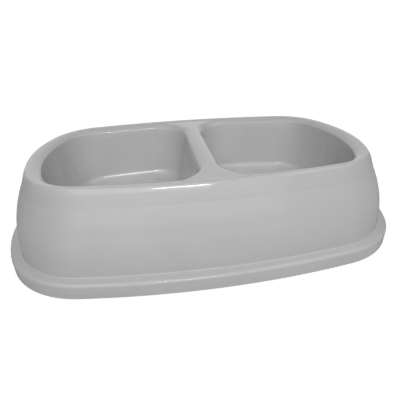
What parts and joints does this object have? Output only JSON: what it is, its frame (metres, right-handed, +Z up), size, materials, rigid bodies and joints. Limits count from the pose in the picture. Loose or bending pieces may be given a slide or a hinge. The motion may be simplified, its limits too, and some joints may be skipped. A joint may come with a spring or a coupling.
{
  "type": "double pet bowl",
  "caption": "Oval double pet bowl with a flanged base, a bead rim and a low bridge between its wells, on push-in rubber feet.",
  "frame": {"origin": "centre of the footprint, on the floor under the rubber feet", "axes": "+X along the length through both wells, -Y towards the side that the picture shows, +Z up"},
  "size_m": [0.33, 0.207, 0.0723],
  "materials": {
    "moulding": "glossy injection-moulded polypropylene, mid grey",
    "feet": "matt moulded rubber, dark grey"
  },
  "bodies": {
    "root": {"bowl_body": "moulding", "foot_front_left": "feet", "foot_front_right": "feet", "foot_rear_left": "feet", "foot_rear_right": "feet"}
  },
  "joints": []
}
